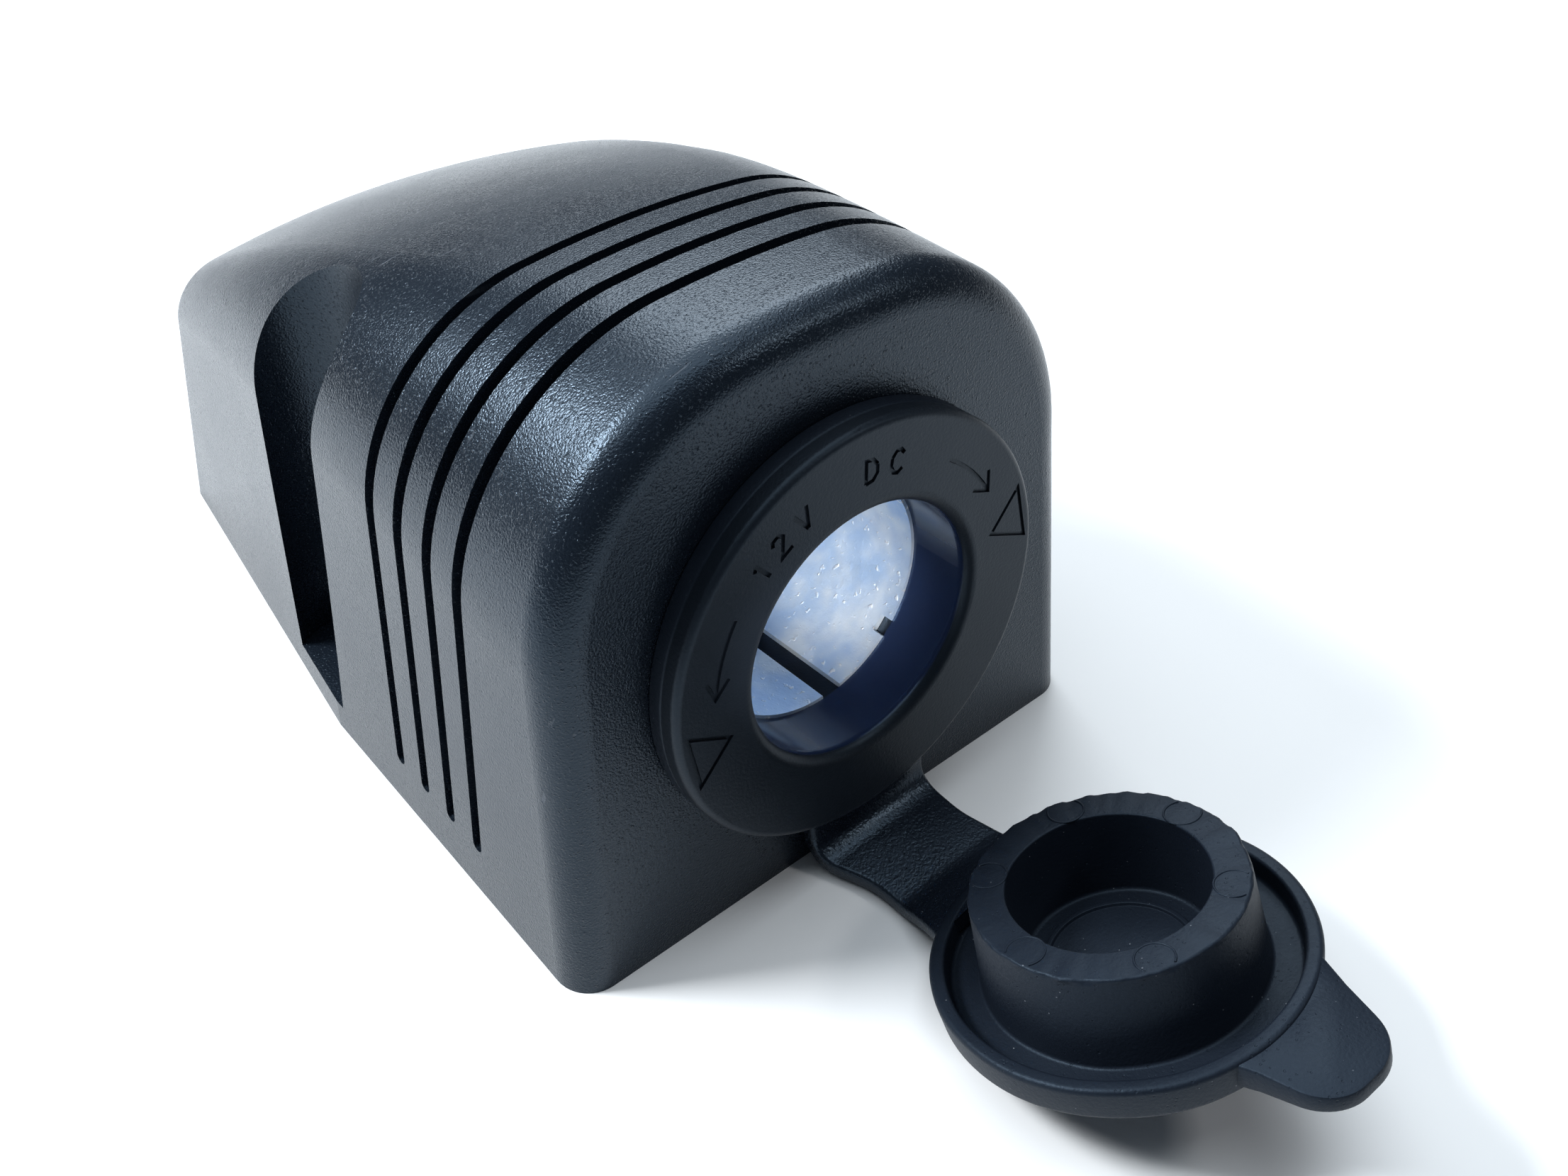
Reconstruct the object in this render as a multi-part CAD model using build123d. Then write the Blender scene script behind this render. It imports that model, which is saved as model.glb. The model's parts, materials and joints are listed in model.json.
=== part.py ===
"""Surface-mount 12 V power socket: a moulded housing with a flanged socket and a tethered rubber cap.

Frame: +X to the right seen from the front, the socket faces -Y, +Z up.  The origin is midway
between the two screw holes, on the plane that the housing stands on.  Millimetres.
"""
from build123d import *
from math import atan2, cos, radians, sin, sqrt, tan
import os

os.makedirs("parts", exist_ok=True)

# ---------------------------------------------------------------- driving dimensions
PAST = 1.0                # how far a cutting shape runs past the face that it cuts

# Housing
FACE_Y = -42.0            # front face, at its bottom edge
REAR_Y = 38.1             # rear face, at its bottom edge
WAIST_Y = -3.3            # where the sides start to draw in towards the rear
HALF_WIDTH = 27.95        # at the base, ahead of the waist
SIDE_TAPER = 0.1147       # how fast the half width falls behind the waist
SIDE_DRAFT = 4.5          # degrees
HEIGHT = 49.8             # crown of the arch at the front face
ROOF_RADIUS = 150.0       # the crown line falls away along this arc
CROWN_RADIUS = 90.0       # across the top
SHOULDER_FRONT = 20.7     # shoulder radius at the front
SHOULDER_REAR = 5.0       # shoulder radius at the rear edge
SHOULDER_FADE_Y = (-30.0, 33.0)
FACE_TILT = 5.7           # degrees, the front face leans back
REAR_LEAN = 15.4          # degrees, the rear face leans forward
FACE_EDGE_RADIUS = 3.2
REAR_EDGE_RADIUS = 1.4
WALL = 2.6
PANEL = 3.2               # wall behind the front face

# Grooves round the arch
GROOVE_COUNT = 4
GROOVE_FIRST_Y = -27.46
GROOVE_PITCH = 4.07
GROOVE_WIDTH = 1.25
GROOVE_DEPTH = 1.4
GROOVE_END_Z = 5.6

# Screw pockets, one on each side
SCREW_X = 23.0
POCKET_RADIUS = 6.5
POCKET_FLOOR = 3.0
POCKET_WALL = 1.9
SCREW_HOLE_RADIUS = 2.2

# Cable notch in the rear wall
NOTCH_RADIUS = 4.0
NOTCH_CENTRE_Z = 3.0

# Socket, measured along its own axis from the front face: positive is outwards
SOCKET_HEIGHT = 23.46     # where the axis crosses the front face
FLANGE_RADIUS = 18.2
TETHER_THICK = 1.56
FLANGE_FRONT = 3.16
FLANGE_EDGE_RADIUS = 0.6
MOUTH_RADIUS = 10.8
LIP_RADIUS = 1.08
BARREL_RADIUS = 14.0
THREAD_ROOT_RADIUS = 13.3
THREAD_PITCH = 3.0
THREAD_START = -12.5      # behind the lock nut
THREAD_RINGS = 10
PANEL_HOLE_RADIUS = 14.3
SLEEVE_RADIUS = 10.5      # inside
SLEEVE_WALL = 0.6
SLEEVE_FRONT = -2.94
SLEEVE_SLOT_WIDTH = 1.9
SLEEVE_SLOT_ANGLE = -83.0
SLEEVE_NOTCH_ANGLE = -44.0
SLEEVE_NOTCH = (1.5, 1.1)  # width and depth
SLEEVE_NECK = (-33.4, 9.6)  # the sleeve draws in to this outer radius near its floor
SLEEVE_SLOT_LENGTH = 30.0
SLEEVE_FLOOR_HOLE = 4.0
BACK_WALL_FRONT = -39.0
BACK_WALL_REAR = -42.0
SEAT_GAP = 0.05           # sleeve to barrel
SHEET = 0.8               # terminal sheet metal
STUD_RADIUS = 1.5
HOLE_GAP = 0.1            # a hole's radius is this much more than its fastener's
INNER_WASHER = (5.2, 1.2)  # radius and thickness, and a spigot through the sleeve's floor
SPIGOT_RADIUS = 3.9
REAR_WASHER_RADIUS = 5.0
LOCK_WASHER = (3.0, 0.6)  # radius and thickness
NUT_FLATS = 5.5
NUT_HEIGHT = 2.4
STUD_LENGTH = 5.6         # behind the back wall
RIVET_Y = -7.1            # below the socket axis
RIVET_RADIUS = 1.2
RIVET_HEAD = (1.6, 0.6)   # radius and thickness
POSITIVE_BLADE_Y = 5.2
NEGATIVE_BLADE_Y = -11.4
BLADE_WIDTH = 6.3
BLADE_END = -55.5
BLADE_CHAMFER = 1.2
BLADE_HOLE = (0.85, 4.0)  # radius and distance from the blade's end
MARK_DEPTH = 0.22
MARK_WIDTH = 0.34
GLYPH_RADIUS = 14.5       # middle of the lettering round the flange
GLYPH_SIZE = 0.95         # half the height of a letter
ARROW_RADIUS = 14.6
TRIANGLE = (17.2, 13.6, 8.5)  # base radius, tip radius, half angle

# Lock nut behind the front panel
NUT_FLANGE = (18.4, 1.8)  # radius and thickness
NUT_BODY = (16.6, 8.0)
NUT_RIBS = 12
NUT_RIB = (2.0, 2.6, 6.8)

# Rubber tether and cap
STRAP_THICK = 1.5
STRAP_HALF_WIDTH = 6.4
STRAP_WAIST_HALF_WIDTH = 5.6
STRAP_X = 1.2             # the strap leaves the ring a little to one side
CAP_CENTRE = (4.05, -68.6, 4.98)   # centre of the cap's outer face, cap open
CAP_PITCH = 20.6          # degrees, the open cap leans back towards the socket
CAP_ROLL = -2.6           # degrees
CAP_RADIUS = 14.6
CAP_FOOT_RADIUS = 13.9    # outer face, inside its rounded edge
CAP_RIM_HEIGHT = 3.0
CAP_RIM_INNER = 13.3
CAP_FLOOR = 1.3
CAP_RIM_ROUND = 0.4
PLUG_ROOT_RADIUS = 10.65
PLUG_RADIUS = 10.35
PLUG_INNER_RADIUS = 7.45
PLUG_HEIGHT = 9.05
PLUG_DEPTH = 7.4          # depth of the hollow in the plug
EJECTOR_RING = 8.95
EJECTOR_RADIUS = 1.45
EJECTOR_LINE = 0.12
SPRUE_RING = (5.9, 5.5, 0.3)   # outer and inner radius and height, in the floor of the plug
TAB_X = 1.0
TAB_LENGTH = 21.0
TAB_ROOT_Y = 14.5
TAB_HALF_WIDTH = 5.1
TAB_TIP_HALF_WIDTH = 3.9
TAB_TIP_RADIUS = 3.6
TAB_LOW = 0.4
TAB_THICK = 1.6
STRAP_JOINT_X = -1.45     # in the cap's own frame
STRAP_JOINT_Y = 16.2
JOINT_GAP = 0.3
STRAP_PIVOT = (1.2, -45.3, 3.9)    # centre of the strap's bend under the flange
STRAP_SPLIT = 0.7         # the ring's part of the strap ends this far ahead of the pivot
STRAP_LOW = 0.35          # underside of the strap where it lies along the ground
STRAP_WAIST = 6.6         # ahead of the front face
STRAP_END_WEB = 5.0
BEND_RADIUS = 2.6         # middle of the strap round its bend

SOCKET = Plane(
    origin=(0, FACE_Y + SOCKET_HEIGHT * tan(radians(FACE_TILT)), SOCKET_HEIGHT),
    x_dir=(1, 0, 0),
    z_dir=(0, -cos(radians(FACE_TILT)), sin(radians(FACE_TILT))),
)


def cap_plane():
    """The open cap's frame: local Z is the way the plug points, local Y is towards the strap."""
    normal = Vector(tan(radians(CAP_ROLL)), tan(radians(CAP_PITCH)), 1).normalized()
    across = Vector(0, 1, 0).cross(normal).normalized()
    return Plane(origin=CAP_CENTRE, x_dir=across, z_dir=normal)


CAP = cap_plane()


def in_socket(shape):
    """Move a shape from the socket's own frame into place."""
    return SOCKET.location * shape


def in_cap(shape):
    """Move a shape from the cap's own frame into place."""
    return CAP.location * shape


def drum(radius, low, high):
    """A cylinder along Z between two heights."""
    return Pos(0, 0, (low + high) / 2) * Cylinder(radius, high - low)


def tube(outer, inner, low, high):
    return drum(outer, low, high) - drum(inner, low - 1, high + 1)


def turned(points):
    """A solid turned round Z from the closed outline of (radius, height) points."""
    outline = make_face(Plane.XZ * Polyline(*points, close=True))
    return revolve(outline, Axis.Z)


# ---------------------------------------------------------------- housing
def half_width(y):
    return HALF_WIDTH - SIDE_TAPER * max(0, y - WAIST_Y)


def crown_height(y):
    back = y - FACE_Y
    return HEIGHT - ROOF_RADIUS + sqrt(ROOF_RADIUS**2 - back**2)


def shoulder_radius(y):
    start, end = SHOULDER_FADE_Y
    share = min(1, max(0, (y - start) / (end - start)))
    return SHOULDER_FRONT + share * (SHOULDER_REAR - SHOULDER_FRONT)


def arch(y, inset=0.0):
    """The housing's cross-section at y as a face, inset by a wall thickness."""
    draft = radians(SIDE_DRAFT)
    shoulder = max(shoulder_radius(y) - inset, 1.0)
    crown = CROWN_RADIUS - inset
    crown_z = crown_height(y) - CROWN_RADIUS
    # The shoulder's centre lies one shoulder radius inside the side and inside the crown.
    out_x, out_z = cos(draft), sin(draft)
    foot_x = half_width(y) - inset / out_x
    start_x = foot_x - shoulder / out_x
    along_x, along_z = -sin(draft), cos(draft)
    from_crown_z = -crown_z
    b = start_x * along_x + from_crown_z * along_z
    c = start_x**2 + from_crown_z**2 - (crown - shoulder) ** 2
    run = -b + sqrt(b * b - c)
    centre_x, centre_z = start_x + run * along_x, run * along_z
    side_x, side_z = centre_x + shoulder * out_x, centre_z + shoulder * out_z
    lean = atan2(centre_z - crown_z, centre_x)
    join_x, join_z = centre_x + shoulder * cos(lean), centre_z + shoulder * sin(lean)
    middle = (draft + lean) / 2
    mid_x, mid_z = centre_x + shoulder * cos(middle), centre_z + shoulder * sin(middle)
    top_z = crown_z + crown
    plane = Plane(origin=(0, y, 0), x_dir=(1, 0, 0), z_dir=(0, -1, 0))
    outline = [
        Line((-foot_x, 0), (foot_x, 0)),
        Line((foot_x, 0), (side_x, side_z)),
        ThreePointArc((side_x, side_z), (mid_x, mid_z), (join_x, join_z)),
        ThreePointArc((join_x, join_z), (0, top_z), (-join_x, join_z)),
        ThreePointArc((-join_x, join_z), (-mid_x, mid_z), (-side_x, side_z)),
        Line((-side_x, side_z), (-foot_x, 0)),
    ]
    return plane * make_face(outline)


def arch_body(inset, face_inset, rear_inset):
    """The arched body between the front and rear faces, each moved in by its own inset."""
    ahead = [FACE_Y - 4 + share * (WAIST_Y - FACE_Y + 4) for share in (0, 0.25, 0.5, 0.75, 1)]
    behind = [WAIST_Y + share * (REAR_Y + 6 - WAIST_Y) for share in (0, 0.25, 0.5, 0.75, 1)]
    body = loft([arch(y, inset) for y in ahead]) + loft([arch(y, inset) for y in behind])
    front = Plane(
        origin=(0, FACE_Y + face_inset / cos(radians(FACE_TILT)), 0),
        x_dir=(1, 0, 0),
        z_dir=(0, -cos(radians(FACE_TILT)), sin(radians(FACE_TILT))),
    )
    rear = Plane(
        origin=(0, REAR_Y - rear_inset / cos(radians(REAR_LEAN)), 0),
        x_dir=(1, 0, 0),
        z_dir=(0, cos(radians(REAR_LEAN)), sin(radians(REAR_LEAN))),
    )
    body = split(body, bisect_by=front, keep=Keep.BOTTOM)
    return split(body, bisect_by=rear, keep=Keep.BOTTOM)


def groove(y):
    """A slot round the arch in a plane parallel to X, with round ends above the base."""
    reach = 2 * HALF_WIDTH
    slot = Plane.YZ * (Pos(y, GROOVE_END_Z + HEIGHT / 2) * Rectangle(GROOVE_WIDTH, HEIGHT))
    slot += Plane.YZ * (Pos(y, GROOVE_END_Z) * Circle(GROOVE_WIDTH / 2))
    core = extrude(arch(y, GROOVE_DEPTH), 2 * GROOVE_WIDTH, both=True)
    return extrude(slot, reach, both=True) - core


def housing_shell():
    body = arch_body(0, 0, 0)
    front_face = body.faces().sort_by(Axis.Y)[0]
    front_edges = [edge for edge in front_face.edges() if edge.center().Z > 1]
    body = fillet(front_edges, FACE_EDGE_RADIUS)
    rear_face = body.faces().sort_by(Axis.Y)[-1]
    rear_edges = [edge for edge in rear_face.edges() if edge.center().Z > 1]
    body = fillet(rear_edges, REAR_EDGE_RADIUS)
    cavity = arch_body(WALL, PANEL, WALL)
    for side in (-1, 1):
        body -= Pos(side * SCREW_X, 0, 0) * drum(POCKET_RADIUS, POCKET_FLOOR, HEIGHT)
        cavity -= Pos(side * SCREW_X, 0, 0) * drum(POCKET_RADIUS + POCKET_WALL, -PAST, HEIGHT)
    body -= cavity
    for side in (-1, 1):
        body -= Pos(side * SCREW_X, 0, 0) * drum(SCREW_HOLE_RADIUS, -PAST, POCKET_FLOOR + PAST)
    for index in range(GROOVE_COUNT):
        body -= groove(GROOVE_FIRST_Y + index * GROOVE_PITCH)
    body -= in_socket(drum(PANEL_HOLE_RADIUS, -PANEL - PAST, PAST))
    sides = Rectangle(2 * NOTCH_RADIUS, 2 * NOTCH_RADIUS)
    notch = Plane.XZ * (Pos(0, NOTCH_CENTRE_Z) * Circle(NOTCH_RADIUS))
    notch += Plane.XZ * (Pos(0, NOTCH_CENTRE_Z - NOTCH_RADIUS) * sides)
    body -= Pos(0, REAR_Y, 0) * extrude(notch, 3 * WALL, both=True)
    return body


# ---------------------------------------------------------------- socket
def stroke(points, low=FLANGE_FRONT - MARK_DEPTH):
    """An engraved line on the flange, through the given points."""
    line = Polyline(*points) if len(points) > 2 else Line(*points)
    return Pos(0, 0, low) * extrude(trace(line, MARK_WIDTH), 1)


def polar(radius, angle):
    return (radius * cos(radians(angle)), radius * sin(radians(angle)))


GLYPHS = {
    "1": [[(-0.35, 0.6), (0.1, 1)], [(0.1, 1), (0.1, -1)]],
    "2": [[(-0.6, 0.55), (-0.35, 0.95), (0.3, 0.95), (0.55, 0.5), (-0.6, -1), (0.6, -1)]],
    "V": [[(-0.65, 1), (0, -1)], [(0, -1), (0.65, 1)]],
    "D": [[(-0.55, -1), (-0.55, 1), (0.15, 0.9), (0.6, 0.35)],
          [(0.6, 0.35), (0.6, -0.35), (0.15, -0.9), (-0.55, -1)]],
    "C": [[(0.6, 0.6), (0.2, 0.98), (-0.25, 0.9), (-0.6, 0.35)],
          [(-0.6, 0.35), (-0.6, -0.35), (-0.25, -0.9), (0.2, -0.98), (0.6, -0.6)]],
}


def flange_marks():
    """The voltage mark round the top of the flange, between two arrows and two triangles."""
    marks = []
    for glyph, angle in (("1", 131), ("2", 122), ("V", 112.5), ("D", 87), ("C", 77)):
        for line in GLYPHS[glyph]:
            flat = [(x * GLYPH_SIZE, y * GLYPH_SIZE) for x, y in line]
            marks.append(Rot(0, 0, angle - 90) * Pos(0, GLYPH_RADIUS, 0) * stroke(flat))
    for start, end, barb in ((54, 29, 6), (146, 171, -6)):
        steps = [start + (end - start) * k / 6 for k in range(7)]
        marks.append(stroke([polar(ARROW_RADIUS, angle) for angle in steps]))
        outer, inner = polar(ARROW_RADIUS + 1, end + barb), polar(ARROW_RADIUS - 1, end + barb)
        marks.append(stroke([outer, polar(ARROW_RADIUS, end), inner]))
    base, tip, half = TRIANGLE
    for middle in (11, -172):
        corners = [polar(base, middle + half), polar(base, middle - half), polar(tip, middle)]
        marks.append(stroke(corners + corners[:1]))
    return marks


def socket_barrel():
    seat = SLEEVE_RADIUS + SLEEVE_WALL + SEAT_GAP
    body = drum(FLANGE_RADIUS, TETHER_THICK, FLANGE_FRONT)
    body += drum(BARREL_RADIUS, BACK_WALL_REAR, TETHER_THICK)
    for index in range(THREAD_RINGS):
        middle = THREAD_START - index * THREAD_PITCH
        low, high = middle - THREAD_PITCH / 4, middle + THREAD_PITCH / 4
        body -= tube(BARREL_RADIUS + PAST, THREAD_ROOT_RADIUS, low, high)
    body -= drum(MOUTH_RADIUS, SLEEVE_FRONT - PAST, FLANGE_FRONT + PAST)
    rims = body.edges().filter_by(GeomType.CIRCLE).group_by(Axis.Z)[-1].sort_by(SortBy.RADIUS)
    body = fillet(rims[0], LIP_RADIUS)
    front_circles = body.edges().filter_by(GeomType.CIRCLE).group_by(Axis.Z)[-1]
    body = fillet(front_circles.sort_by(SortBy.RADIUS)[-1], FLANGE_EDGE_RADIUS)
    neck_top, neck_radius = SLEEVE_NECK
    body -= drum(seat, neck_top - SLEEVE_WALL, SLEEVE_FRONT)
    body -= drum(neck_radius + SEAT_GAP, BACK_WALL_FRONT, neck_top)
    body -= drum(STUD_RADIUS + HOLE_GAP, BACK_WALL_REAR - PAST, BACK_WALL_FRONT + PAST)
    rivet_hole = drum(RIVET_RADIUS + HOLE_GAP, BACK_WALL_REAR - PAST, BACK_WALL_FRONT + PAST)
    body -= Pos(0, RIVET_Y, 0) * rivet_hole
    for mark in flange_marks():
        body -= mark
    return in_socket(body)


def contact_sleeve():
    outer = SLEEVE_RADIUS + SLEEVE_WALL
    neck_top, neck_radius = SLEEVE_NECK
    neck_inner = neck_radius - SLEEVE_WALL
    floor = BACK_WALL_FRONT + SLEEVE_WALL
    outside = [(SLEEVE_FLOOR_HOLE, BACK_WALL_FRONT), (neck_radius, BACK_WALL_FRONT),
               (neck_radius, neck_top - SLEEVE_WALL), (outer, neck_top - SLEEVE_WALL), (outer, SLEEVE_FRONT)]
    inside = [(SLEEVE_RADIUS, SLEEVE_FRONT), (SLEEVE_RADIUS, neck_top), (neck_inner, neck_top),
              (neck_inner, floor), (SLEEVE_FLOOR_HOLE, floor)]
    body = turned(outside + inside)
    across = 4 * SLEEVE_WALL
    slot = Pos(outer, 0, SLEEVE_FRONT) * Box(across, SLEEVE_SLOT_WIDTH, 2 * SLEEVE_SLOT_LENGTH)
    body -= Rot(0, 0, SLEEVE_SLOT_ANGLE) * slot
    notch_width, notch_depth = SLEEVE_NOTCH
    notch = Pos(outer, 0, SLEEVE_FRONT) * Box(across, notch_width, 2 * notch_depth)
    body -= Rot(0, 0, SLEEVE_NOTCH_ANGLE) * notch
    rivet_hole = drum(RIVET_RADIUS + HOLE_GAP, BACK_WALL_FRONT - PAST, BACK_WALL_FRONT + 2 * PAST)
    return in_socket(body - Pos(0, RIVET_Y, 0) * rivet_hole)


def inner_insulator():
    radius, thick = INNER_WASHER
    floor = BACK_WALL_FRONT + SLEEVE_WALL
    body = drum(radius, floor, floor + thick) + drum(SPIGOT_RADIUS, BACK_WALL_FRONT, floor)
    return in_socket(body - drum(STUD_RADIUS + HOLE_GAP, BACK_WALL_REAR, floor + 2 * thick))


def centre_contact():
    """A domed head on a stud that passes through the back wall."""
    head = BACK_WALL_FRONT + SLEEVE_WALL + INNER_WASHER[1]
    dome = [(0, head), (4.2, head), (4.2, head + 0.9), (3.1, head + 1.7), (2.2, head + 3.0), (0, head + 3.4)]
    return in_socket(turned(dome) + drum(STUD_RADIUS, BACK_WALL_REAR - STUD_LENGTH, head))


def rear_insulator():
    washer = tube(REAR_WASHER_RADIUS, STUD_RADIUS + HOLE_GAP, BACK_WALL_REAR - SHEET, BACK_WALL_REAR)
    return in_socket(washer)


def terminal(eye_y, blade_y, low, hole_radius):
    """A bent blade terminal: an eye plate under the fastener, then a 6.3 mm blade rearwards."""
    side = 1 if blade_y > eye_y else -1
    far = eye_y - side * 1.3 * hole_radius
    near = blade_y + side * SHEET / 2
    plate = Pos(0, (far + near) / 2, low + SHEET / 2) * Box(BLADE_WIDTH, abs(near - far), SHEET)
    plate -= Pos(0, eye_y, 0) * drum(hole_radius, low - PAST, low + 2 * PAST)
    length = low - BLADE_END
    blade = Pos(0, blade_y, low - length / 2) * Box(BLADE_WIDTH, SHEET, length)
    tip = blade.edges().filter_by(Axis.Y).group_by(Axis.Z)[0]
    blade = chamfer(tip, BLADE_CHAMFER)
    blade_hole, from_end = BLADE_HOLE
    blade -= Pos(0, blade_y, BLADE_END + from_end) * Rot(90, 0, 0) * Cylinder(blade_hole, 4 * SHEET)
    return in_socket(plate + blade)


def positive_terminal():
    return terminal(0, POSITIVE_BLADE_Y, BACK_WALL_REAR - 2 * SHEET, STUD_RADIUS + HOLE_GAP)


def negative_terminal():
    return terminal(RIVET_Y, NEGATIVE_BLADE_Y, BACK_WALL_REAR - SHEET, RIVET_RADIUS + HOLE_GAP)


def positive_lock_washer():
    radius, thick = LOCK_WASHER
    top = BACK_WALL_REAR - 2 * SHEET
    ring = tube(radius, STUD_RADIUS + HOLE_GAP, top - thick, top)
    split_gap = Pos(radius, 0, top - thick / 2) * Box(radius, thick, 2 * thick)
    return in_socket(ring - split_gap)


def positive_nut():
    top = BACK_WALL_REAR - 2 * SHEET - LOCK_WASHER[1]
    hexagon = extrude(RegularPolygon(NUT_FLATS / 2, 6, major_radius=False), -NUT_HEIGHT)
    return in_socket(Pos(0, 0, top) * hexagon - drum(STUD_RADIUS, top - NUT_HEIGHT - PAST, top + PAST))


def negative_rivet():
    """A hollow rivet through the sleeve's floor, the back wall and the negative terminal."""
    head, thick = RIVET_HEAD
    front = BACK_WALL_FRONT + SLEEVE_WALL
    rear = BACK_WALL_REAR - SHEET
    body = drum(RIVET_RADIUS, rear, front) + drum(head, front, front + thick) + drum(head, rear - thick, rear)
    body -= drum(RIVET_RADIUS / 2, rear - PAST, front + PAST)
    return in_socket(Pos(0, RIVET_Y, 0) * body)


def lock_nut():
    """The ribbed ring nut that clamps the socket against the back of the front panel."""
    front = -PANEL
    flange_radius, flange_thick = NUT_FLANGE
    body_radius, depth = NUT_BODY
    body = drum(flange_radius, front - flange_thick, front) + drum(body_radius, front - depth, front)
    rib = Pos(body_radius, 0, front - (flange_thick + depth) / 2) * Box(*NUT_RIB)
    for index in range(NUT_RIBS):
        body += Rot(0, 0, 360 / NUT_RIBS * index) * rib
    return in_socket(body - drum(BARREL_RADIUS, front - depth - PAST, front + PAST))


# ---------------------------------------------------------------- tether and cap
def strap_outline():
    """The strap seen from above, from behind the ring to the cap, with drawn-in edges."""
    joint = CAP.from_local_coords(Vector(STRAP_JOINT_X, STRAP_JOINT_Y, 0))
    near, far = FACE_Y + PANEL, joint.Y - PANEL
    waist_y = FACE_Y - STRAP_WAIST
    left = [(STRAP_X - STRAP_HALF_WIDTH, near), (STRAP_X - STRAP_WAIST_HALF_WIDTH, waist_y),
            (joint.X - STRAP_HALF_WIDTH, far)]
    right = [(joint.X + STRAP_HALF_WIDTH, far), (STRAP_X + STRAP_WAIST_HALF_WIDTH, waist_y),
             (STRAP_X + STRAP_HALF_WIDTH, near)]
    outline = [ThreePointArc(*left), Line(left[2], right[0]), ThreePointArc(*right), Line(right[2], left[0])]
    return make_face(outline)


def strap_side(low_y, high_y):
    """The strap's side profile between two y values, as a slab across X."""
    top = SOCKET.from_local_coords(Vector(0, FLANGE_EDGE_RADIUS - FLANGE_RADIUS, TETHER_THICK / 2))
    level = STRAP_LOW + STRAP_THICK / 2
    lean = tan(radians(FACE_TILT))
    corner_y = top.Y - (top.Z - level) * lean
    path = FilletPolyline((top.Y, top.Z), (corner_y, level), (FACE_Y - 16, level), radius=BEND_RADIUS)
    band = Plane.YZ * trace(path, STRAP_THICK)
    slab = extrude(band, 2 * STRAP_HALF_WIDTH, both=True)
    window = Pos(0, (low_y + high_y) / 2, 0) * Box(HEIGHT, high_y - low_y, HEIGHT)
    return slab & window


def tether_ring():
    ring = in_socket(tube(FLANGE_RADIUS, BARREL_RADIUS + HOLE_GAP, 0, TETHER_THICK))
    root = strap_side(STRAP_PIVOT[1] - STRAP_SPLIT, FACE_Y + PANEL) & extrude(strap_outline(), FLANGE_RADIUS)
    return ring + root


def strap_link():
    """The free length of the strap, between its bend under the ring and its flared end."""
    joint = CAP.from_local_coords(Vector(STRAP_JOINT_X, STRAP_JOINT_Y, CAP_RIM_HEIGHT))
    side = strap_side(joint.Y - STRAP_END_WEB, STRAP_PIVOT[1] - STRAP_SPLIT - JOINT_GAP)
    link = side & extrude(strap_outline(), FLANGE_RADIUS)
    beyond = Pos(STRAP_JOINT_X, STRAP_JOINT_Y + JOINT_GAP / 2 - CAP_RADIUS, 0) * Box(
        HEIGHT, 2 * CAP_RADIUS, HEIGHT
    )
    return link - in_cap(beyond)


def strap_end():
    """The flared end of the strap that carries the cap."""
    middle_z = CAP_RIM_HEIGHT - STRAP_THICK / 2
    end_y = STRAP_JOINT_Y - JOINT_GAP / 2
    web = Box(2 * STRAP_HALF_WIDTH, STRAP_END_WEB, STRAP_THICK)
    web = Pos(STRAP_JOINT_X, end_y - STRAP_END_WEB / 2, middle_z) * web
    return in_cap(web - drum(CAP_RADIUS + JOINT_GAP, -PLUG_HEIGHT, PLUG_HEIGHT))


def cap():
    body = drum(CAP_RADIUS, 0, CAP_RIM_HEIGHT)
    foot = body.edges().filter_by(GeomType.CIRCLE).group_by(Axis.Z)[0]
    body = fillet(foot, CAP_RADIUS - CAP_FOOT_RADIUS)
    rim = body.edges().filter_by(GeomType.CIRCLE).group_by(Axis.Z)[-1]
    body = fillet(rim, CAP_RIM_ROUND)
    body -= drum(CAP_RIM_INNER, CAP_FLOOR, PLUG_HEIGHT)
    return in_cap(body + cap_plug() + cap_tab())


def cap_plug():
    """The hollow plug that fills the socket's mouth, with a ring in its floor and six round marks."""
    hollow_floor = PLUG_HEIGHT - PLUG_DEPTH
    outline = [
        (0, CAP_FLOOR / 2),
        (PLUG_ROOT_RADIUS, CAP_FLOOR / 2),
        (PLUG_ROOT_RADIUS, CAP_FLOOR),
        (PLUG_RADIUS, PLUG_HEIGHT - CAP_RIM_ROUND),
        (PLUG_RADIUS - CAP_RIM_ROUND, PLUG_HEIGHT),
        (0, PLUG_HEIGHT),
    ]
    plug = turned(outline) - drum(PLUG_INNER_RADIUS, hollow_floor, PLUG_HEIGHT + PAST)
    ring_outer, ring_inner, ring_height = SPRUE_RING
    plug += tube(ring_outer, ring_inner, hollow_floor - ring_height, hollow_floor + ring_height)
    mark_low = PLUG_HEIGHT - EJECTOR_LINE
    mark = tube(EJECTOR_RADIUS, EJECTOR_RADIUS - EJECTOR_LINE, mark_low, PLUG_HEIGHT + PAST)
    for index in range(6):
        plug -= Rot(0, 0, 2 + 60 * index) * (Pos(EJECTOR_RING, 0, 0) * mark)
    return plug


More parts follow.
